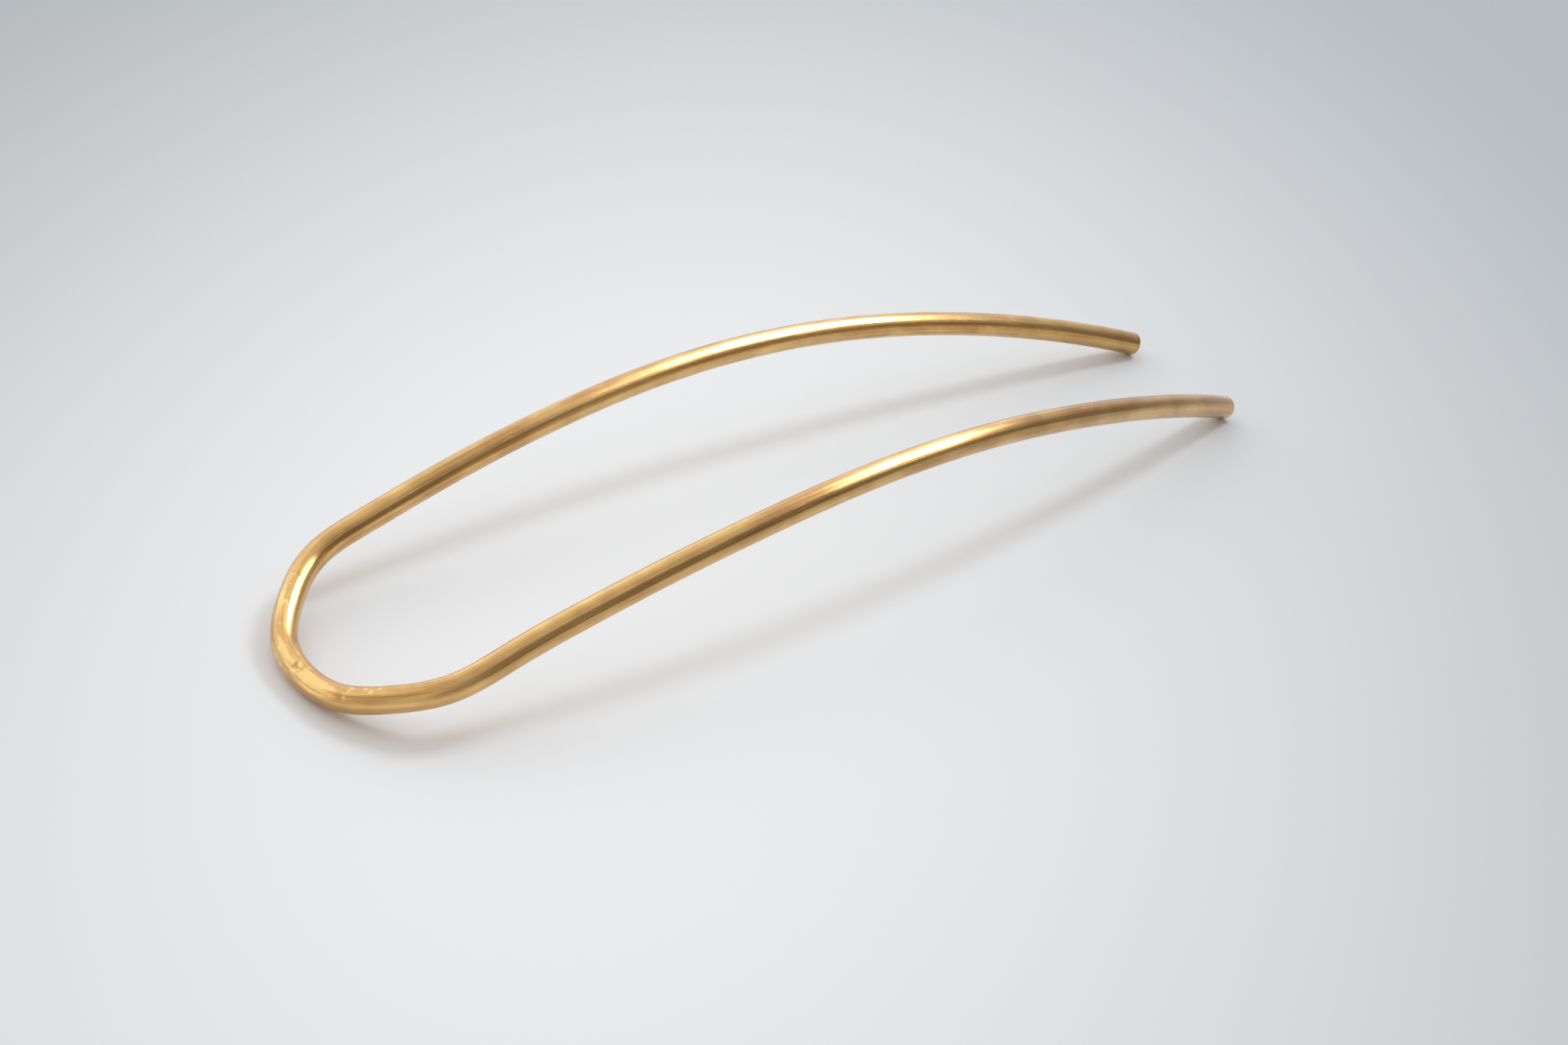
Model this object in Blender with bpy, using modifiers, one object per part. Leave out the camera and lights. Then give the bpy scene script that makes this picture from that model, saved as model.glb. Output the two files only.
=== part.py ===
"""A U-shaped hairpin made of one round brass wire.

The wire is bent flat into a U, and the U is then bowed to follow the back of the head. The pin lies as it does
on a table, on the middle of its bend and on its two tips. +X runs from the bend to the tips and +Y to the left
leg. Lengths are in metres.
"""

import math

import bpy
import numpy as np
from mathutils import Vector

# The wire, and each leg's length along it from the middle of the bend
WIRE_DIAMETER = 0.0027
RIM_ROUNDING = 0.0003
LEFT_LEG_LENGTH = 0.1306
RIGHT_LEG_LENGTH = 0.1312

# The flat U, from the middle of the bend outwards: how long each stretch of wire is and how far it turns inwards
NOSE_LENGTH = 0.0029
NOSE_ANGLE = math.radians(9.1)
CORNER_LENGTH = 0.0051
CORNER_ANGLE = math.radians(33.9)
CHEEK_LENGTH = 0.0052
CHEEK_ANGLE = math.radians(6.7)
SHOULDER_LENGTH = 0.0067
SHOULDER_ANGLE = math.radians(40.0)
NECK_LENGTH = 0.0084
NECK_ANGLE = math.radians(-3.2)
LEG_ROOT_LENGTH = 0.0227
LEG_ROOT_ANGLE = math.radians(1.4)
LEFT_LEG_SWEEP_RADIUS = 0.341
RIGHT_LEG_SWEEP_RADIUS = 0.3186
BEND_EASE = 0.0026

# The bow, measured along the flat U: the slope that it starts at, how long each stretch is, and how far each
# leg turns down over it. Past the crown, each leg follows a radius to its tip.
START_SLOPE_ANGLE = math.radians(24.9)
BOW_START_LENGTH = 0.0133
BOW_RISE_LENGTH = 0.0353
BOW_CROWN_LENGTH = 0.0354
LEFT_START_ANGLE = math.radians(9.2)
LEFT_RISE_ANGLE = math.radians(10.8)
LEFT_CROWN_ANGLE = math.radians(14.1)
LEFT_TIP_RADIUS = 0.2098
RIGHT_START_ANGLE = math.radians(7.5)
RIGHT_RISE_ANGLE = math.radians(9.5)
RIGHT_CROWN_ANGLE = math.radians(18.9)
RIGHT_TIP_RADIUS = 0.1645
BOW_EASE = 0.0052

# How finely the surface is divided
SIDE_RESOLUTION = 6
RIM_SEGMENTS = 3
FACET_LENGTH = 0.0024
FACET_ANGLE = math.radians(4.5)
WALK_STEPS = 4000
SEATING_PASSES = 4
JOINING_DISTANCE = 0.00001
RIM_LIMIT_ANGLE = math.radians(60)

# Drawn brass with a satin surface
BRASS_COLOUR = (0.74, 0.46, 0.19, 1.0)
BRASS_ROUGHNESS = 0.3

UP = Vector((0, 0, 1))
DOWN = -UP
LEFT_SIDE = 1
RIGHT_SIDE = -1


def clear_scene():
    for thing in list(bpy.data.objects):
        bpy.data.objects.remove(thing, do_unlink=True)


def make_collection():
    pin = bpy.data.collections.new("hairpin")
    bpy.context.scene.collection.children.link(pin)
    return pin


def make_brass():
    brass = bpy.data.materials.new("satin_brass")
    brass.use_nodes = True
    shader = brass.node_tree.nodes["Principled BSDF"]
    shader.inputs["Base Color"].default_value = BRASS_COLOUR
    shader.inputs["Metallic"].default_value = 1.0
    shader.inputs["Roughness"].default_value = BRASS_ROUGHNESS
    brass.diffuse_color = BRASS_COLOUR
    return brass


def flat_stretches(leg_length, sweep_radius):
    """The length and inward turn of each stretch of one leg in the flat U, with the long sweep to the tip last."""
    stretches = [
        (NOSE_LENGTH, NOSE_ANGLE),
        (CORNER_LENGTH, CORNER_ANGLE),
        (CHEEK_LENGTH, CHEEK_ANGLE),
        (SHOULDER_LENGTH, SHOULDER_ANGLE),
        (NECK_LENGTH, NECK_ANGLE),
        (LEG_ROOT_LENGTH, LEG_ROOT_ANGLE),
    ]
    sweep_length = leg_length - sum(length for length, angle in stretches)
    return stretches + [(sweep_length, sweep_length / sweep_radius)]


def bow_stretches(reach, start_angle, rise_angle, crown_angle, tip_radius):
    """The length and downward turn of each stretch of one leg's bow, over the reach of that leg in the flat U."""
    stretches = [
        (BOW_START_LENGTH, start_angle),
        (BOW_RISE_LENGTH, rise_angle),
        (BOW_CROWN_LENGTH, crown_angle),
    ]
    tip_length = reach - sum(length for length, angle in stretches)
    return stretches + [(tip_length, tip_length / tip_radius)]


def area_turned(distances, stretches):
    """The area under the angle turned, drawn against the distance from the middle of the bend."""
    area = np.zeros_like(distances)
    start = 0
    for length, angle in stretches:
        past_start = np.abs(distances) - start
        within = np.clip(past_start, 0, length)
        beyond = np.maximum(past_start - length, 0)
        area += angle * (within**2 / (2 * length) + beyond)
        start += length
    return area


def angle_turned(distances, stretches, ease):
    """How far the wire has turned. Wire can't change its curve at once, so each point takes the mean over the ease."""
    ahead = area_turned(distances + ease, stretches)
    behind = area_turned(distances - ease, stretches)
    return (ahead - behind) / (2 * ease)


def walk(angles, length):
    """How far a walk in equal steps leads straight on and sideways, where each step keeps to the angle there."""
    middles = (angles[1:] + angles[:-1]) / 2
    step = length / len(middles)
    straight_on = np.concatenate([[0], np.cumsum(np.cos(middles) * step)])
    sideways = np.concatenate([[0], np.cumsum(np.sin(middles) * step)])
    return straight_on, sideways


def ring_distances(stretches):
    """The distances along a leg at which the wire's surface has a ring of corners, closer together in tight bends."""
    distances = [0]
    for length, angle in stretches:
        start = distances[-1]
        steps = math.ceil(max(length / FACET_LENGTH, abs(angle) / FACET_ANGLE))
        distances += [start + length * step / steps for step in range(1, steps + 1)]
    return distances


def leg_path(side, leg_length, sweep_radius, *bow):
    """The points along the middle of one leg, from the middle of the bend to the tip."""
    stretches = flat_stretches(leg_length, sweep_radius)
    distances = np.linspace(0, leg_length, WALK_STEPS)
    across, along = walk(angle_turned(distances, stretches, BEND_EASE), leg_length)

    reach = along[-1]
    runs = np.linspace(0, reach, WALK_STEPS)
    drop = angle_turned(runs, bow_stretches(reach, *bow), BOW_EASE)
    forward, upward = walk(START_SLOPE_ANGLE - drop, reach)

    rings = ring_distances(stretches)
    ring_runs = np.interp(rings, distances, along)
    x_places = np.interp(ring_runs, runs, forward)
    y_places = side * np.interp(rings, distances, across)
    z_places = np.interp(ring_runs, runs, upward)
    return [Vector(place) for place in zip(x_places, y_places, z_places)]


def underside(place, along_wire, rounding):
    """The lowest point of a round section of the wire whose rim has this rounding."""
    below = (DOWN - along_wire * DOWN.dot(along_wire)).normalized()
    rim_centre = place - along_wire * rounding + below * (WIRE_DIAMETER / 2 - rounding)
    return rim_centre + DOWN * rounding


def seated(path, nose):
    """Tilts the path until the wire rests on the middle of its bend and on the lower rims of both tips."""
    for _ in range(SEATING_PASSES):
        left_tip = underside(path[0], (path[0] - path[1]).normalized(), RIM_ROUNDING)
        right_tip = underside(path[-1], (path[-1] - path[-2]).normalized(), RIM_ROUNDING)
        bend = underside(path[nose], (path[nose + 1] - path[nose - 1]).normalized(), 0)
        floor_normal = (right_tip - bend).cross(left_tip - bend)
        tilt = floor_normal.rotation_difference(UP)
        path = [tilt @ place for place in path]
    return path


def pin_path():
    """The middle line of the whole wire, from the left tip round the bend to the right tip."""
    left_bow = (LEFT_START_ANGLE, LEFT_RISE_ANGLE, LEFT_CROWN_ANGLE, LEFT_TIP_RADIUS)
    right_bow = (RIGHT_START_ANGLE, RIGHT_RISE_ANGLE, RIGHT_CROWN_ANGLE, RIGHT_TIP_RADIUS)
    left_leg = leg_path(LEFT_SIDE, LEFT_LEG_LENGTH, LEFT_LEG_SWEEP_RADIUS, *left_bow)
    right_leg = leg_path(RIGHT_SIDE, RIGHT_LEG_LENGTH, RIGHT_LEG_SWEEP_RADIUS, *right_bow)
    nose = len(left_leg) - 1
    return seated(left_leg[::-1] + right_leg[1:], nose)


def make_wire(path, collection, material):
    """A round wire along the path, with square-cut ends whose rims are slightly rounded."""
    curve = bpy.data.curves.new("pin_wire", "CURVE")
    curve.dimensions = "3D"
    curve.bevel_depth = WIRE_DIAMETER / 2
    curve.bevel_resolution = SIDE_RESOLUTION
    curve.use_fill_caps = True
    spline = curve.splines.new("POLY")
    spline.points.add(len(path) - 1)
    for point, place in zip(spline.points, path):
        point.co = (*place, 1)
    spline.use_smooth = True

    wire = bpy.data.objects.new("pin_wire", curve)
    collection.objects.link(wire)
    curve.materials.append(material)

    caps = wire.modifiers.new("join_end_faces", "WELD")
    caps.merge_threshold = JOINING_DISTANCE
    rims = wire.modifiers.new("round_end_rims", "BEVEL")
    rims.limit_method = "ANGLE"
    rims.angle_limit = RIM_LIMIT_ANGLE
    rims.width = RIM_ROUNDING
    rims.segments = RIM_SEGMENTS
    rims.use_clamp_overlap = False
    return wire


def stand_on_floor(wire):
    """Centres the pin's box on the origin, with its lowest point on the floor."""
    finished = wire.evaluated_get(bpy.context.evaluated_depsgraph_get())
    corners = np.array([vertex.co for vertex in finished.to_mesh().vertices])
    finished.to_mesh_clear()
    middle = (corners.min(axis=0) + corners.max(axis=0)) / 2
    wire.location = (-middle[0], -middle[1], -corners[:, 2].min())


def main():
    clear_scene()
    wire = make_wire(pin_path(), make_collection(), make_brass())
    stand_on_floor(wire)


main()
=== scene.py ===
"""A U-shaped hairpin of satin brass wire, lying on a pale table with a window beyond its tips.

The wire is made as a straight rod along +X, from the left tip to the right tip. The bending tools' marks are
pressed into it, and then it is bent along the pin's middle line. Lengths are in metres.
"""

import math

import bmesh
import bpy
import numpy as np
from mathutils import Matrix, Vector


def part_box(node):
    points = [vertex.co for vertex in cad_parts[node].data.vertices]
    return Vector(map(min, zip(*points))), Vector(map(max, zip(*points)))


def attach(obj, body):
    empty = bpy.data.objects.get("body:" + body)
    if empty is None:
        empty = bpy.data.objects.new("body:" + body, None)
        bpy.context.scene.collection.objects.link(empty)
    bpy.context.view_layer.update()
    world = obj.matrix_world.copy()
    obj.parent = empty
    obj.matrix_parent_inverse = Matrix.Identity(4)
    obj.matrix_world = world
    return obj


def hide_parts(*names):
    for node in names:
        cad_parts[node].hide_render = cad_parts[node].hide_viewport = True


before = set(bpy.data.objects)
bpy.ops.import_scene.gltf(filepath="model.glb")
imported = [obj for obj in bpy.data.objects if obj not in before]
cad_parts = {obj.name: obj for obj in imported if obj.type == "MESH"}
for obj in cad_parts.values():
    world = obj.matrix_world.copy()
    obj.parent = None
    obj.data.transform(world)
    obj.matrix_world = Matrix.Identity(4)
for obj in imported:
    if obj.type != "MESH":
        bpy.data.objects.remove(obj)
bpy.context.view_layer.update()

# The wire and its bends, as they are in the part
WIRE_RADIUS = 0.00135
RIM_ROUNDING = 0.0003
LEFT_LEG_LENGTH = 0.1306
RIGHT_LEG_LENGTH = 0.1312
WIRE_LENGTH = LEFT_LEG_LENGTH + RIGHT_LEG_LENGTH

# Each stretch of one leg in the flat U, from the middle of the bend outwards: its length, and how far it
# turns inwards. A long sweep to the tip comes last, at its own radius.
FLAT_STRETCHES = (
    (0.0029, math.radians(9.1)),
    (0.0051, math.radians(33.9)),
    (0.0052, math.radians(6.7)),
    (0.0067, math.radians(40.0)),
    (0.0084, math.radians(-3.2)),
    (0.0227, math.radians(1.4)),
)
LEFT_LEG_SWEEP_RADIUS = 0.341
RIGHT_LEG_SWEEP_RADIUS = 0.3186
BEND_EASE = 0.0026

# The bow, along the reach of the flat U: the slope that it starts at, each stretch's length, how far each leg
# turns down over it, and the radius from there to the tip
START_SLOPE_ANGLE = math.radians(24.9)
BOW_LENGTHS = (0.0133, 0.0353, 0.0354)
LEFT_BOW_ANGLES = (math.radians(9.2), math.radians(10.8), math.radians(14.1))
LEFT_TIP_RADIUS = 0.2098
RIGHT_BOW_ANGLES = (math.radians(7.5), math.radians(9.5), math.radians(18.9))
RIGHT_TIP_RADIUS = 0.1645
BOW_EASE = 0.0052

# How finely the middle line is worked out
WALK_STEPS = 4000
PATH_POINTS_PER_LEG = 600
SEATING_PASSES = 4

LEFT_SIDE = 1
RIGHT_SIDE = -1
UP = Vector((0, 0, 1))
DOWN = -UP

# How finely the rod is divided: it is cut into lengths, and then each length into rings
ROD_SIDES = 60
RIM_SEGMENTS = 4
FIRST_CUTS = 39
SECOND_CUTS = 31
# Edges that turn by more than this stay sharp
SMOOTH_ANGLE = math.radians(30)

# Marks of the bending tools. Places along the wire are distances from the left tip. Places around it are
# angles from the top of the wire, towards the outside of the U.
# Flats: place along, place around, depth in the middle, and how far it runs out each way
FLATS = (
    (0.1334, math.radians(56), 0.00011, 0.0050),
    (0.1322, math.radians(24), 0.00009, 0.0042),
    (0.1276, math.radians(28), 0.00004, 0.0026),
    (0.1271, math.radians(68), 0.00005, 0.0018),
    (0.1205, math.radians(30), 0.00002, 0.0030),
    (0.1392, math.radians(50), 0.00003, 0.0030),
)
# Dents: place along, place around, depth, size; a depth below 0 is a burr
DENTS = (
    (0.1301, math.radians(12), 0.00011, 0.00040),
    (0.1302, math.radians(24), 0.00018, 0.00046),
    (0.1303, math.radians(36), 0.00013, 0.00042),
    (0.1308, math.radians(16), -0.00007, 0.00040),
    (0.1309, math.radians(30), -0.00006, 0.00038),
    (0.1210, math.radians(8), 0.00007, 0.00030),
    (0.1211, math.radians(16), 0.00009, 0.00030),
    (0.1212, math.radians(24), 0.00006, 0.00030),
    (0.1269, math.radians(72), 0.00008, 0.00060),
    (0.1282, math.radians(64), 0.00006, 0.00050),
    (0.1368, math.radians(50), 0.00005, 0.00050),
)
# Nicks from the jaws, scattered over the bend: how many, where from and to, and their depths and sizes
NICK_COUNT = 34
NICK_SEED = 5
NICKS_ALONG = (0.1175, 0.1425)
NICKS_AROUND = (math.radians(-35), math.radians(75))
NICK_DEPTHS = (0.000008, 0.000030)
NICK_SIZES = (0.00022, 0.00042)
# Points closer together than this count as one place
SAME_PLACE_DISTANCE = 0.00001
# A place pressed in by this much or more is fully burnished, and one pressed in by less is partly burnished
BURNISHED_DEPTH = 0.000012
# Slow waves in the wire: their size along it, and their height from low to high
WAVE_SIZE = 0.005
WAVE_HEIGHT = 0.000012

# The camera, as it stood for the photograph
FOCAL_LENGTH_MM = 63.01
SENSOR_WIDTH_MM = 36
CAMERA_PLACE = Vector((-0.166925, -0.181827, 0.16267))
CAMERA_HEADING = math.radians(47.515)
CAMERA_DIP = math.radians(33.477)
CAMERA_ROLL = math.radians(7.738)

# The window, seen from the pin: its bright pane, and a pale curtain round it that shows only in reflections
WINDOW_HEADING = math.radians(4.5)
WINDOW_HEIGHT = math.radians(51)
WINDOW_DISTANCE = 1.2
PANE_WIDTH = 0.31
PANE_LENGTH = 0.36
PANE_POWER = 2.95
PANE_COLOUR = (0.87, 1.0, 1.13)
CURTAIN_HEADING = math.radians(-1)
CURTAIN_WIDTH = 1.05
CURTAIN_LENGTH = 0.46
CURTAIN_POWER = 8.8
CURTAIN_COLOUR = (0.95, 1.0, 1.06)

# The room by direction: its level in equal steps from its dim side to its bright side, which lies this way
ROOM_HEADING = math.radians(116)
ROOM_HEIGHT = math.radians(12)
ROOM_LEVELS = (0.11, 0.235, 0.52, 0.88, 1.19, 1.44)
ROOM_DIM_COLOUR = (1.09, 1.01, 0.97, 1)
ROOM_BRIGHT_COLOUR = (0.97, 1.0, 1.015, 1)
# A curve node only holds values up to 1, so it holds the levels divided by this
LEVEL_SCALE = 2
# Overhead the level turns into the ceiling's own, from the first of these heights to the second
CEILING_LEVEL = 0.74
CEILING_HEIGHTS = (math.radians(50), math.radians(78))
# A pale band low down all round, full up to the first height and gone above the second. It is tilted, so that
# it stands lower beyond the tips and higher beyond the bend.
LOW_LEVEL = 0.78
LOW_HEIGHTS = (math.radians(3), math.radians(8))
LOW_TILT_HEADING = math.radians(15)
LOW_TILT = math.radians(7)
# A darker and warmer patch beyond the bend. It has this share of the light up to the first angle from its
# middle, and is gone beyond the second.
DARK_HEADING = math.radians(174)
DARK_HEIGHT = math.radians(34)
DARK_ANGLES = (math.radians(14), math.radians(33))
DARK_SHARE = 0.42
DARK_COLOUR = (1.16, 1.0, 0.88, 1)
# The height of what is straight overhead
STRAIGHT_UP = math.radians(90)

# The table top is palest at this middle, between the legs near the bend, as a painted pool of light. It turns
# to its outer colour, a painted shade, at the edge of an oval with these reaches, and keeps it beyond.
TABLE_SIZE = 6
PAINTED_LIGHT_POOL_MIDDLE = (-0.028, -0.008, 0)
PAINTED_LIGHT_POOL_HEADING = math.radians(42)
PAINTED_LIGHT_POOL_REACHES = (0.277, 0.156)
TABLE_COLOUR = (0.98, 0.99, 1.0, 1)
TABLE_PAINTED_SHADE_COLOUR = (0.50, 0.525, 0.54, 1)
TABLE_ROUGHNESS = 0.9
TABLE_SPECULAR = 0.2

# Brass: its colours, its roughness before the patterns add to it, the grain in its reflections, its relief,
# and the clear lacquer on it
BRASS_BRIGHT = (0.845, 0.555, 0.20, 1)
BRASS_DEEP = (0.48, 0.24, 0.07, 1)
BRASS_BURNISHED = (0.95, 0.65, 0.255, 1)
BRASS_ROUGHNESS = 0.19
BRASS_GRAIN = 0.79
BRASS_RELIEF = 0.00005
LACQUER_SHARE = 0.68
LACQUER_ROUGHNESS = 0.23

# The brass's noise patterns: how many cells each has in a metre, along the wire and across it, and the values
# of the noise from which it begins and at which it is full
LINE_CELLS = (60, 7500)
LINE_RAGGEDNESS = 0.65
STREAK_CELLS = (22, 2300)
STREAK_RAGGEDNESS = 0.6
STREAK_ENDS = (0.36, 0.64)
CLOUD_CELLS = (220, 420)
CLOUD_ENDS = (0.38, 0.64)
PIT_CELLS = (3500, 3500)
PIT_ENDS = (0.66, 0.72)
PITTED_CELLS = (90, 300)
PITTED_ENDS = (0.55, 0.66)
SCRATCHED_CELLS = (170, 500)
SCRATCHED_ENDS = (0.48, 0.58)
PATTERN_DETAIL = 3
# In the roughness, lines and clouds both count between these values
ROUGHNESS_ENDS = (0.3, 0.7)
# Scratches run where this noise is at its middle value, full up to the first distance from it and gone at the
# second
SCRATCH_CELLS = (45, 1500)
SCRATCH_ENDS = (0.004, 0.012)
NOISE_MIDDLE = 0.5

# How much each pattern counts in the colour, in the roughness, and in the height next to the streaks' own
STREAK_BRIGHTNESS = 0.55
CLOUD_BRIGHTNESS = 0.45
PIT_DARKNESS = 0.35
BURNISHED_SHARE = 0.45
LINE_ROUGHENING = 0.06
TARNISH_ROUGHENING = 0.06
BURNISHED_SMOOTHING = 0.14
LINE_HEIGHT = 0.12
PIT_DEPTH = 0.08
SCRATCH_DEPTH = 0.07

# The mix node has sockets of the same name for each kind of value, so its colour sockets go by number
MIX_COLOUR_INPUTS = (6, 7)
MIX_COLOUR_OUTPUT = 2


def area_turned(distances, stretches):
    """The area under the angle turned, drawn against the distance from the middle of the bend."""
    area = np.zeros_like(distances)
    start = 0
    for length, angle in stretches:
        past_start = np.abs(distances) - start
        within = np.clip(past_start, 0, length)
        beyond = np.maximum(past_start - length, 0)
        area += angle * (within**2 / (2 * length) + beyond)
        start += length
    return area


def angle_turned(distances, stretches, ease):
    """How far the wire has turned at each distance, as the mean over the ease on both sides."""
    ahead = area_turned(distances + ease, stretches)
    behind = area_turned(distances - ease, stretches)
    return (ahead - behind) / (2 * ease)


def walk(angles, length):
    """How far a walk in equal steps leads straight on and sideways, with each step at the angle there."""
    middles = (angles[1:] + angles[:-1]) / 2
    step = length / len(middles)
    straight_on = np.concatenate([[0], np.cumsum(np.cos(middles) * step)])
    sideways = np.concatenate([[0], np.cumsum(np.sin(middles) * step)])
    return straight_on, sideways


def with_last(stretches, whole_length, last_radius):
    """The stretches, with an arc of this radius for what is left of the whole length."""
    left_over = whole_length - sum(length for length, angle in stretches)
    return [*stretches, (left_over, left_over / last_radius)]


def leg_path(side, leg_length, sweep_radius, bow_angles, tip_radius):
    """The points along the middle of one leg, from the middle of the bend to the tip."""
    distances = np.linspace(0, leg_length, WALK_STEPS)
    flat = with_last(FLAT_STRETCHES, leg_length, sweep_radius)
    across, along = walk(angle_turned(distances, flat, BEND_EASE), leg_length)

    reach = along[-1]
    runs = np.linspace(0, reach, WALK_STEPS)
    bow = with_last(tuple(zip(BOW_LENGTHS, bow_angles)), reach, tip_radius)
    forward, upward = walk(START_SLOPE_ANGLE - angle_turned(runs, bow, BOW_EASE), reach)

    places = np.linspace(0, leg_length, PATH_POINTS_PER_LEG)
    place_runs = np.interp(places, distances, along)
    x_places = np.interp(place_runs, runs, forward)
    y_places = side * np.interp(places, distances, across)
    z_places = np.interp(place_runs, runs, upward)
    return [Vector(place) for place in zip(x_places, y_places, z_places)]


def underside(place, along_wire, rounding):
    """The lowest point of a round section of the wire whose rim has this rounding."""
    below = (DOWN - along_wire * DOWN.dot(along_wire)).normalized()
    rim_centre = place - along_wire * rounding + below * (WIRE_RADIUS - rounding)
    return rim_centre + DOWN * rounding


def seated(path, nose):
    """Tilts the path until the wire rests on the middle of its bend and on the lower rims of both tips."""
    for _ in range(SEATING_PASSES):
        left_tip = underside(path[0], (path[0] - path[1]).normalized(), RIM_ROUNDING)
        right_tip = underside(path[-1], (path[-1] - path[-2]).normalized(), RIM_ROUNDING)
        bend = underside(path[nose], (path[nose + 1] - path[nose - 1]).normalized(), 0)
        floor_normal = (right_tip - bend).cross(left_tip - bend)
        tilt = floor_normal.rotation_difference(UP)
        path = [tilt @ place for place in path]
    return path


def pin_path():
    """The middle line of the whole wire, from the left tip round the bend to the right tip."""
    left_bow = (LEFT_BOW_ANGLES, LEFT_TIP_RADIUS)
    right_bow = (RIGHT_BOW_ANGLES, RIGHT_TIP_RADIUS)
    left_leg = leg_path(LEFT_SIDE, LEFT_LEG_LENGTH, LEFT_LEG_SWEEP_RADIUS, *left_bow)
    right_leg = leg_path(RIGHT_SIDE, RIGHT_LEG_LENGTH, RIGHT_LEG_SWEEP_RADIUS, *right_bow)
    nose = len(left_leg) - 1
    return seated(left_leg[::-1] + right_leg[1:], nose)


def select_only(thing):
    bpy.ops.object.select_all(action="DESELECT")
    thing.select_set(True)
    bpy.context.view_layer.objects.active = thing


def select_edges(rod, wanted):
    """In edit mode, selects the edges whose two ends pass the test, and nothing else."""
    mesh = bmesh.from_edit_mesh(rod.data)
    bpy.ops.mesh.select_all(action="DESELECT")
    bpy.context.tool_settings.mesh_select_mode = (False, True, False)
    for edge in mesh.edges:
        start, end = edge.verts
        if wanted(start.co, end.co):
            edge.select_set(True)
    bmesh.update_edit_mesh(rod.data)


def make_rod():
    """A straight rod with rounded end rims, divided into short rings."""
    bpy.ops.mesh.primitive_cylinder_add(
        vertices=ROD_SIDES,
        radius=WIRE_RADIUS,
        depth=WIRE_LENGTH,
        end_fill_type="NGON",
        location=(WIRE_LENGTH / 2, 0, 0),
        rotation=(0, math.radians(90), 0),
    )
    rod = bpy.context.object
    rod.name = "bent_wire"
    bpy.ops.object.transform_apply(location=True, rotation=True, scale=True)
    bpy.ops.object.mode_set(mode="EDIT")
    select_edges(rod, lambda start, end: abs(start.x - end.x) < RIM_ROUNDING)
    bpy.ops.mesh.bevel(offset=RIM_ROUNDING, segments=RIM_SEGMENTS, affect="EDGES")
    half_a_length = WIRE_LENGTH / (2 * (FIRST_CUTS + 1))
    for cuts in (FIRST_CUTS, SECOND_CUTS):
        select_edges(rod, lambda start, end: abs(start.x - end.x) > half_a_length)
        bpy.ops.mesh.subdivide(number_cuts=cuts)
    bpy.ops.object.mode_set(mode="OBJECT")
    return rod


def select_points(rod, wanted):
    """In edit mode, selects the points whose place passes the test, and nothing else."""
    mesh = bmesh.from_edit_mesh(rod.data)
    bpy.ops.mesh.select_all(action="DESELECT")
    bpy.context.tool_settings.mesh_select_mode = (True, False, False)
    for point in mesh.verts:
        if wanted(point.co):
            point.select_set(True)
    bmesh.update_edit_mesh(rod.data)


def laid_under_tool(along, around, depth, lean=0):
    """The move that brings this place to the origin, facing up, with the tool's face on the ground plane."""
    facing_up = Matrix.Rotation(-around, 4, "X")
    moved = Matrix.Translation((-along, 0, depth - WIRE_RADIUS))
    return Matrix.Rotation(lean, 4, "Y") @ moved @ facing_up


def press_flat(rod, along, around, depth, run_out):
    """Squashes the wire flat, deepest in the middle and running out to nothing each way along it."""
    lean = math.atan(depth / run_out)
    for way in (1, -1):
        laid = laid_under_tool(along, around, depth, way * lean)
        rod.data.transform(laid)
        bpy.ops.object.mode_set(mode="EDIT")
        select_points(rod, lambda place: place.z > 0 and 0 <= place.x * way < run_out)
        bpy.ops.transform.resize(value=(1, 1, 0), center_override=(0, 0, 0))
        bpy.ops.object.mode_set(mode="OBJECT")
        rod.data.transform(laid.inverted())


def press_dent(rod, along, around, depth, size):
    """Pushes one small place in, or pulls it out as a burr, with its surroundings."""
    laid = laid_under_tool(along, around, 0)
    rod.data.transform(laid)
    bpy.ops.object.mode_set(mode="EDIT")
    mesh = bmesh.from_edit_mesh(rod.data)
    nearest = min(mesh.verts, key=lambda point: point.co.length)
    centre = nearest.co.copy()
    select_points(rod, lambda place: (place - centre).length < SAME_PLACE_DISTANCE)
    bpy.ops.transform.translate(
        value=(0, 0, -depth),
        use_proportional_edit=True,
        proportional_edit_falloff="SMOOTH",
        proportional_size=size,
    )
    bpy.ops.object.mode_set(mode="OBJECT")
    rod.data.transform(laid.inverted())


def press_tool_marks(rod):
    select_only(rod)
    for flat in FLATS:
        press_flat(rod, *flat)
    for dent in DENTS:
        press_dent(rod, *dent)
    chance = np.random.default_rng(NICK_SEED)
    for _ in range(NICK_COUNT):
        nick = [chance.uniform(*ends) for ends in (NICKS_ALONG, NICKS_AROUND, NICK_DEPTHS, NICK_SIZES)]
        press_dent(rod, *nick)


def keep_burnished_places(rod):
    """Notes which points the tools have pressed in, because brass is brighter and smoother there."""
    burnished = rod.data.attributes.new("burnished", "FLOAT", "POINT")
    for point, note in zip(rod.data.vertices, burnished.data):
        pressed_in = WIRE_RADIUS - math.hypot(point.co.y, point.co.z)
        if NICKS_ALONG[0] < point.co.x < NICKS_ALONG[1]:
            note.value = min(max(pressed_in / BURNISHED_DEPTH, 0), 1)


def make_slightly_uneven(rod):
    """Hand-bent wire isn't perfectly round or straight, so its reflections waver a little."""
    clouds = bpy.data.textures.new("slow_waves", "CLOUDS")
    clouds.noise_scale = WAVE_SIZE
    waves = rod.modifiers.new("slow_waves", "DISPLACE")
    waves.texture = clouds
    waves.strength = WAVE_HEIGHT
    bpy.ops.object.modifier_apply(modifier=waves.name)


def keep_straight_places(rod):
    """Notes where each point was on the straight rod, for the patterns that run along the wire."""
    places = np.zeros(len(rod.data.vertices) * 3, np.float32)
    rod.data.vertices.foreach_get("co", places)
    rod.data.attributes.new("straight_place", "FLOAT_VECTOR", "POINT").data.foreach_set("vector", places)


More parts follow.
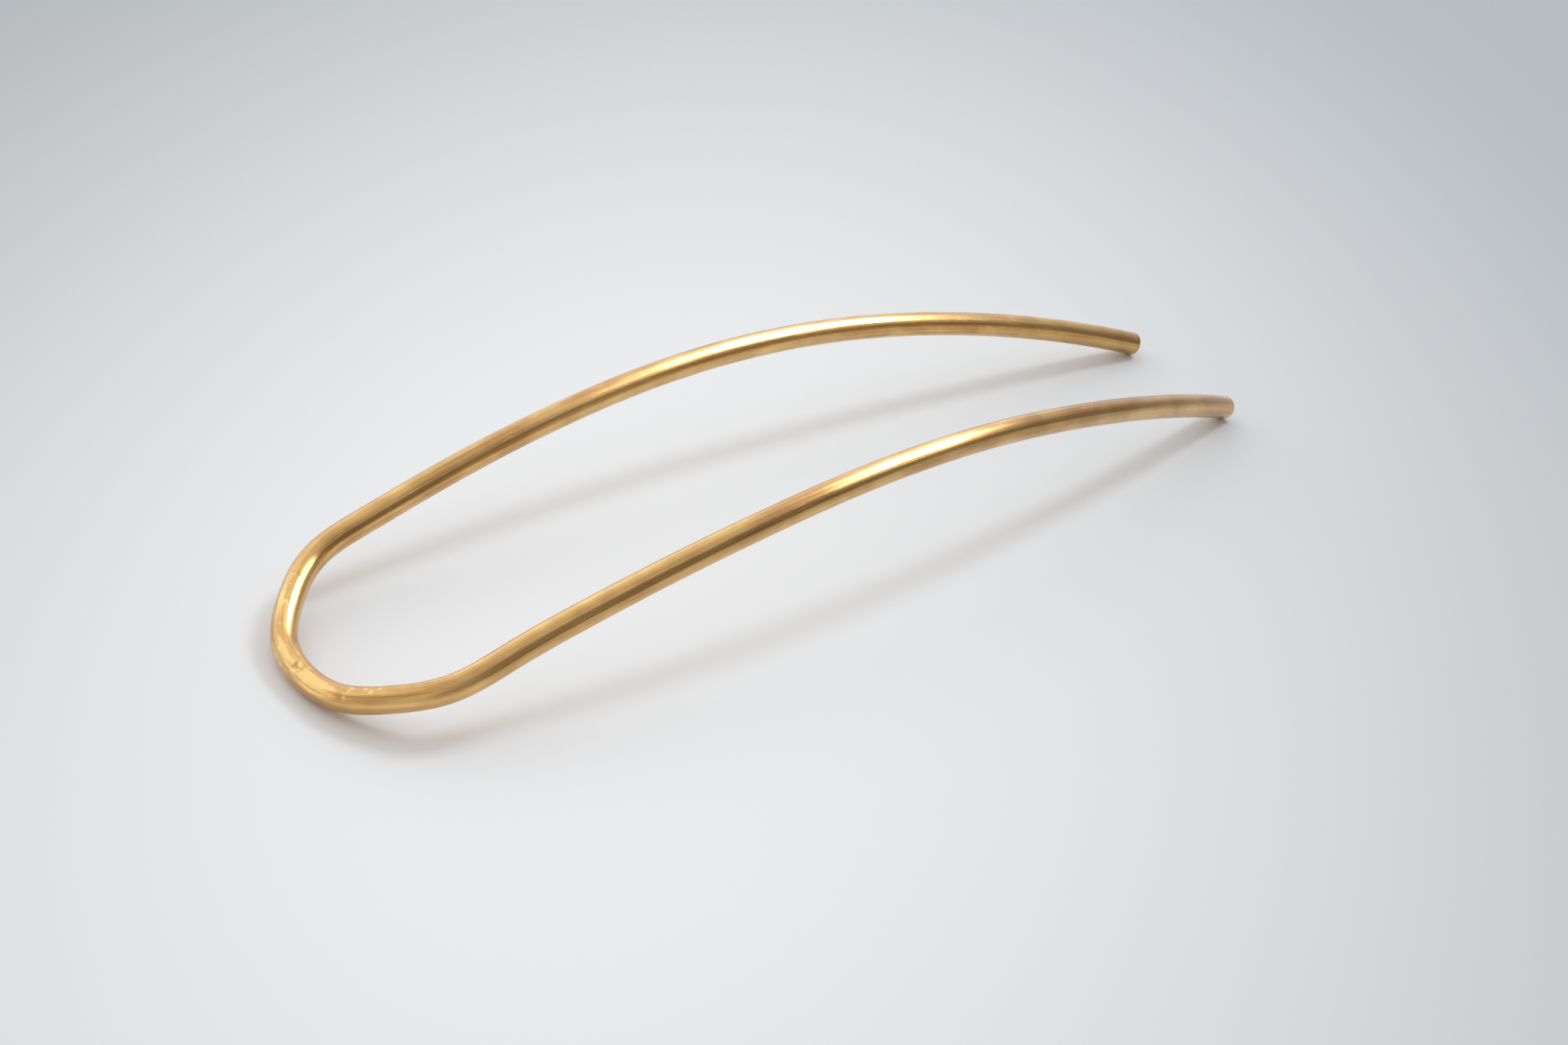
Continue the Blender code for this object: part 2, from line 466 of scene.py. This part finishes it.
def make_path_curve(path):
    curve = bpy.data.curves.new("middle_line", "CURVE")
    curve.dimensions = "3D"
    curve.twist_mode = "Z_UP"
    spline = curve.splines.new("POLY")
    spline.points.add(len(path) - 1)
    for point, place in zip(spline.points, path):
        point.co = (*place, 1)
    middle_line = bpy.data.objects.new("middle_line", curve)
    bpy.context.scene.collection.objects.link(middle_line)
    return middle_line


def bend(rod, path):
    """Bends the straight rod along the path, and stands it where the part stands."""
    middle_line = make_path_curve(path)
    select_only(rod)
    bending = rod.modifiers.new("bend_along_path", "CURVE")
    bending.object = middle_line
    bending.deform_axis = "POS_X"
    bpy.ops.object.modifier_apply(modifier=bending.name)
    bpy.data.objects.remove(middle_line, do_unlink=True)

    corners = np.array([vertex.co for vertex in rod.data.vertices])
    low, high = corners.min(axis=0), corners.max(axis=0)
    cad_low, cad_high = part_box("pin_wire")
    shift = (cad_low + cad_high) / 2 - Vector((low + high) / 2)
    rod.location = (shift.x, shift.y, -low[2])
    bpy.ops.object.transform_apply(location=True, rotation=False, scale=False)


def add_node(tree, kind, **settings):
    node = tree.nodes.new(kind)
    for name, value in settings.items():
        setattr(node, name, value)
    return node


def noise(tree, place, finenesses, detail=2, roughness=0.5):
    """A noise pattern from 0 to 1, with this many cells in a metre along the wire, and across it."""
    fineness_along, fineness_across = finenesses
    mapping = add_node(tree, "ShaderNodeMapping")
    mapping.inputs["Scale"].default_value = (fineness_along, fineness_across, fineness_across)
    tree.links.new(place, mapping.inputs["Vector"])
    pattern = add_node(tree, "ShaderNodeTexNoise")
    pattern.inputs["Scale"].default_value = 1
    pattern.inputs["Detail"].default_value = detail
    pattern.inputs["Roughness"].default_value = roughness
    tree.links.new(mapping.outputs["Vector"], pattern.inputs["Vector"])
    return pattern.outputs["Fac"]


def remap(tree, value, low, high, to_low=0, to_high=1, interpolation="LINEAR"):
    """The value with low to high stretched over to_low to to_high, and held to it."""
    ranged = add_node(tree, "ShaderNodeMapRange", interpolation_type=interpolation)
    tree.links.new(value, ranged.inputs["Value"])
    ends = (("From Min", low), ("From Max", high), ("To Min", to_low), ("To Max", to_high))
    for name, end in ends:
        ranged.inputs[name].default_value = end
    return ranged.outputs["Result"]


def combine(tree, operation, first, second=0):
    """Two values, or a value and a number, combined by this operation."""
    sum_node = add_node(tree, "ShaderNodeMath", operation=operation)
    for socket, part in zip(sum_node.inputs, (first, second)):
        if isinstance(part, bpy.types.NodeSocket):
            tree.links.new(part, socket)
        else:
            socket.default_value = part
    return sum_node.outputs["Value"]


def blend(tree, share, value, target):
    """The value where the share is 0, and the target number where it is 1."""
    kept = combine(tree, "MULTIPLY", value, combine(tree, "SUBTRACT", 1, share))
    return combine(tree, "ADD", kept, combine(tree, "MULTIPLY", share, target))


def mix_colours(tree, share, first, second):
    mixed = add_node(tree, "ShaderNodeMix", data_type="RGBA")
    tree.links.new(share, mixed.inputs["Factor"])
    for number, colour in zip(MIX_COLOUR_INPUTS, (first, second)):
        if isinstance(colour, bpy.types.NodeSocket):
            tree.links.new(colour, mixed.inputs[number])
        else:
            mixed.inputs[number].default_value = colour
    return mixed.outputs[MIX_COLOUR_OUTPUT]


def make_pits(tree, place):
    """1 in a fine pit and 0 elsewhere, with pits in the pitted places only."""
    pits = remap(tree, noise(tree, place, PIT_CELLS), *PIT_ENDS)
    pitted = remap(tree, noise(tree, place, PITTED_CELLS), *PITTED_ENDS)
    return combine(tree, "MULTIPLY", pits, pitted)


def make_scratches(tree, place):
    """1 in a thin scratch and 0 elsewhere, with scratches in the scratched places only."""
    off_middle = combine(tree, "SUBTRACT", noise(tree, place, SCRATCH_CELLS), NOISE_MIDDLE)
    scratches = remap(tree, combine(tree, "ABSOLUTE", off_middle), *SCRATCH_ENDS, 1, 0)
    scratched = remap(tree, noise(tree, place, SCRATCHED_CELLS), *SCRATCHED_ENDS)
    return combine(tree, "MULTIPLY", scratches, scratched)


def brass_colour(tree, streaks, clouds, pits, burnished):
    """Deep to bright with the streaks and clouds, deeper in pits, and paler where a tool has burnished it."""
    from_streaks = remap(tree, streaks, *STREAK_ENDS, 0, STREAK_BRIGHTNESS)
    from_clouds = remap(tree, clouds, *CLOUD_ENDS, 0, CLOUD_BRIGHTNESS)
    brightness = combine(tree, "ADD", from_streaks, from_clouds)
    brightness = combine(tree, "SUBTRACT", brightness, combine(tree, "MULTIPLY", pits, PIT_DARKNESS))
    colour = mix_colours(tree, brightness, BRASS_DEEP, BRASS_BRIGHT)
    burnished_share = combine(tree, "MULTIPLY", burnished, BURNISHED_SHARE)
    return mix_colours(tree, burnished_share, colour, BRASS_BURNISHED)


def brass_roughness(tree, lines, clouds, burnished):
    """Rougher with the drawn lines and with tarnish, and smoother where a tool has burnished it."""
    from_lines = remap(tree, lines, *ROUGHNESS_ENDS, 0, LINE_ROUGHENING)
    from_tarnish = remap(tree, clouds, *ROUGHNESS_ENDS, TARNISH_ROUGHENING, 0)
    roughness = combine(tree, "ADD", BRASS_ROUGHNESS, from_lines)
    roughness = combine(tree, "ADD", roughness, from_tarnish)
    return combine(tree, "SUBTRACT", roughness, combine(tree, "MULTIPLY", burnished, BURNISHED_SMOOTHING))


def brass_relief(tree, lines, streaks, pits, scratches):
    """The way that the surface faces, with the streaks and lines raised and the pits and scratches cut in."""
    height = combine(tree, "ADD", streaks, combine(tree, "MULTIPLY", lines, LINE_HEIGHT))
    height = combine(tree, "SUBTRACT", height, combine(tree, "MULTIPLY", pits, PIT_DEPTH))
    height = combine(tree, "SUBTRACT", height, combine(tree, "MULTIPLY", scratches, SCRATCH_DEPTH))
    bump = add_node(tree, "ShaderNodeBump")
    bump.inputs["Strength"].default_value = 1
    bump.inputs["Distance"].default_value = BRASS_RELIEF
    tree.links.new(height, bump.inputs["Height"])
    return bump.outputs["Normal"]


def make_brass():
    """Lacquered brass, with fine lines and broader streaks along the wire, tarnish, scratches and pits."""
    brass = bpy.data.materials.new("satin_brass")
    brass.use_nodes = True
    tree = brass.node_tree
    shader = tree.nodes["Principled BSDF"]
    place = add_node(tree, "ShaderNodeAttribute", attribute_name="straight_place").outputs["Vector"]
    burnished = add_node(tree, "ShaderNodeAttribute", attribute_name="burnished").outputs["Fac"]
    lines = noise(tree, place, LINE_CELLS, PATTERN_DETAIL, LINE_RAGGEDNESS)
    streaks = noise(tree, place, STREAK_CELLS, PATTERN_DETAIL, STREAK_RAGGEDNESS)
    clouds = noise(tree, place, CLOUD_CELLS, PATTERN_DETAIL)
    pits = make_pits(tree, place)
    scratches = make_scratches(tree, place)
    around = add_node(tree, "ShaderNodeTangent", direction_type="UV_MAP", uv_map="UVMap")

    tree.links.new(brass_colour(tree, streaks, clouds, pits, burnished), shader.inputs["Base Color"])
    tree.links.new(brass_roughness(tree, lines, clouds, burnished), shader.inputs["Roughness"])
    tree.links.new(brass_relief(tree, lines, streaks, pits, scratches), shader.inputs["Normal"])
    tree.links.new(around.outputs["Tangent"], shader.inputs["Tangent"])
    shader.inputs["Metallic"].default_value = 1
    shader.inputs["Anisotropic"].default_value = BRASS_GRAIN
    shader.inputs["Coat Weight"].default_value = LACQUER_SHARE
    shader.inputs["Coat Roughness"].default_value = LACQUER_ROUGHNESS
    return brass


def make_table():
    bpy.ops.mesh.primitive_plane_add(size=TABLE_SIZE, location=(0, 0, 0))
    table = bpy.context.object
    table.name = "table"
    paper = bpy.data.materials.new("table_top")
    paper.use_nodes = True
    tree = paper.node_tree
    shader = tree.nodes["Principled BSDF"]
    painted_light_pool = add_node(tree, "ShaderNodeMapping", vector_type="TEXTURE")
    painted_light_pool.inputs["Location"].default_value = PAINTED_LIGHT_POOL_MIDDLE
    painted_light_pool.inputs["Rotation"].default_value = (0, 0, PAINTED_LIGHT_POOL_HEADING)
    painted_light_pool.inputs["Scale"].default_value = (*PAINTED_LIGHT_POOL_REACHES, 1)
    tree.links.new(add_node(tree, "ShaderNodeTexCoord").outputs["Object"], painted_light_pool.inputs["Vector"])
    outwards = add_node(tree, "ShaderNodeVectorMath", operation="LENGTH")
    tree.links.new(painted_light_pool.outputs["Vector"], outwards.inputs[0])
    share = remap(tree, outwards.outputs["Value"], 0, 1, interpolation="SMOOTHSTEP")
    # Painted pool of light: the table's colour darkens from its pale middle to the painted shade beyond the
    # oval
    tree.links.new(mix_colours(tree, share, TABLE_COLOUR, TABLE_PAINTED_SHADE_COLOUR), shader.inputs["Base Color"])
    shader.inputs["Roughness"].default_value = TABLE_ROUGHNESS
    shader.inputs["Specular IOR Level"].default_value = TABLE_SPECULAR
    table.data.materials.append(paper)


def direction_to(heading, height):
    """The way to this heading, turned from +X towards +Y, and this height above the level."""
    on_the_level = math.cos(height)
    return Vector((on_the_level * math.cos(heading), on_the_level * math.sin(heading), math.sin(height)))


def make_lamp(name, shape, heading, sizes, power, colour):
    """A lamp at the window's height and distance, facing the pin."""
    towards = direction_to(heading, WINDOW_HEIGHT)
    light = bpy.data.lights.new(name, "AREA")
    light.shape = shape
    light.size, light.size_y = sizes
    light.energy = power
    light.color = colour
    lamp = bpy.data.objects.new(name, light)
    bpy.context.scene.collection.objects.link(lamp)
    lamp.location = towards * WINDOW_DISTANCE
    lamp.rotation_euler = towards.to_track_quat("Z", "Y").to_euler()
    return lamp


def make_window():
    sizes = (PANE_WIDTH, PANE_LENGTH)
    make_lamp("window_pane", "ELLIPSE", WINDOW_HEADING, sizes, PANE_POWER, PANE_COLOUR)
    sizes = (CURTAIN_WIDTH, CURTAIN_LENGTH)
    curtain = make_lamp("curtain", "RECTANGLE", CURTAIN_HEADING, sizes, CURTAIN_POWER, CURTAIN_COLOUR)
    curtain.visible_diffuse = False


def facing(tree, direction, heading, height):
    """How far the direction faces this way, as the cosine of the angle between them."""
    match = add_node(tree, "ShaderNodeVectorMath", operation="DOT_PRODUCT")
    match.inputs[1].default_value = direction_to(heading, height)
    tree.links.new(direction, match.inputs[0])
    return match.outputs["Value"]


def side_level(tree, side):
    """The room's level, where side is 0 at its dim side and 1 at its bright side."""
    levels = add_node(tree, "ShaderNodeFloatCurve")
    curve = levels.mapping.curves[0]
    steps = len(ROOM_LEVELS) - 1
    for step, level in enumerate(ROOM_LEVELS):
        place = (step / steps, level / LEVEL_SCALE)
        if step in (0, 1):
            curve.points[step].location = place
        else:
            curve.points.new(*place)
    levels.mapping.update()
    tree.links.new(side, levels.inputs["Value"])
    return combine(tree, "MULTIPLY", levels.outputs["Value"], LEVEL_SCALE)


def ceiling_share(tree, direction):
    """0 below the ceiling and 1 where it is reached."""
    start, full = (math.sin(height) for height in CEILING_HEIGHTS)
    steepness = facing(tree, direction, 0, STRAIGHT_UP)
    return remap(tree, steepness, start, full, interpolation="SMOOTHSTEP")


def dark_share(tree, direction):
    """1 in the middle of the dark patch and 0 outside it."""
    full, edge = (math.cos(angle) for angle in DARK_ANGLES)
    towards_middle = facing(tree, direction, DARK_HEADING, DARK_HEIGHT)
    return remap(tree, towards_middle, edge, full, interpolation="SMOOTHSTEP")


def low_share(tree, direction):
    """1 in the pale band and 0 above it."""
    full, end = (math.sin(height) for height in LOW_HEIGHTS)
    steepness = facing(tree, direction, LOW_TILT_HEADING, STRAIGHT_UP - LOW_TILT)
    return remap(tree, steepness, full, end, 1, 0, interpolation="SMOOTHSTEP")


def make_room():
    """The light that the room gives back, from its dim side at the right to its bright side at the left."""
    room = bpy.data.worlds.new("room")
    bpy.context.scene.world = room
    room.use_nodes = True
    tree = room.node_tree
    background = tree.nodes["Background"]
    direction = add_node(tree, "ShaderNodeTexCoord").outputs["Generated"]
    side = remap(tree, facing(tree, direction, ROOM_HEADING, ROOM_HEIGHT), -1, 1)
    darkness = dark_share(tree, direction)

    level = blend(tree, ceiling_share(tree, direction), side_level(tree, side), CEILING_LEVEL)
    level = combine(tree, "MULTIPLY", level, remap(tree, darkness, 0, 1, 1, DARK_SHARE))
    level = blend(tree, low_share(tree, direction), level, LOW_LEVEL)
    tree.links.new(level, background.inputs["Strength"])

    colour = mix_colours(tree, side, ROOM_DIM_COLOUR, ROOM_BRIGHT_COLOUR)
    colour = mix_colours(tree, darkness, colour, DARK_COLOUR)
    tree.links.new(colour, background.inputs["Color"])


def make_camera():
    lens = bpy.data.cameras.new("camera")
    lens.lens = FOCAL_LENGTH_MM
    lens.sensor_width = SENSOR_WIDTH_MM
    camera = bpy.data.objects.new("camera", lens)
    bpy.context.scene.collection.objects.link(camera)
    forward = direction_to(CAMERA_HEADING, -CAMERA_DIP)
    level_right = forward.cross(UP).normalized()
    level_up = level_right.cross(forward)
    right = math.cos(CAMERA_ROLL) * level_right + math.sin(CAMERA_ROLL) * level_up
    up = math.cos(CAMERA_ROLL) * level_up - math.sin(CAMERA_ROLL) * level_right
    turned = Matrix((right, up, -forward)).transposed().to_4x4()
    camera.matrix_world = Matrix.Translation(CAMERA_PLACE) @ turned
    bpy.context.scene.camera = camera


def main():
    bpy.ops.object.select_all(action="DESELECT")
    wire = make_rod()
    press_tool_marks(wire)
    keep_burnished_places(wire)
    make_slightly_uneven(wire)
    keep_straight_places(wire)
    bend(wire, pin_path())
    select_only(wire)
    bpy.ops.object.shade_smooth_by_angle(angle=SMOOTH_ANGLE)
    wire.data.materials.append(make_brass())
    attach(wire, "root")
    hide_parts("pin_wire")
    make_table()
    make_window()
    make_room()
    make_camera()
    bpy.context.scene.view_settings.view_transform = "Standard"


main()
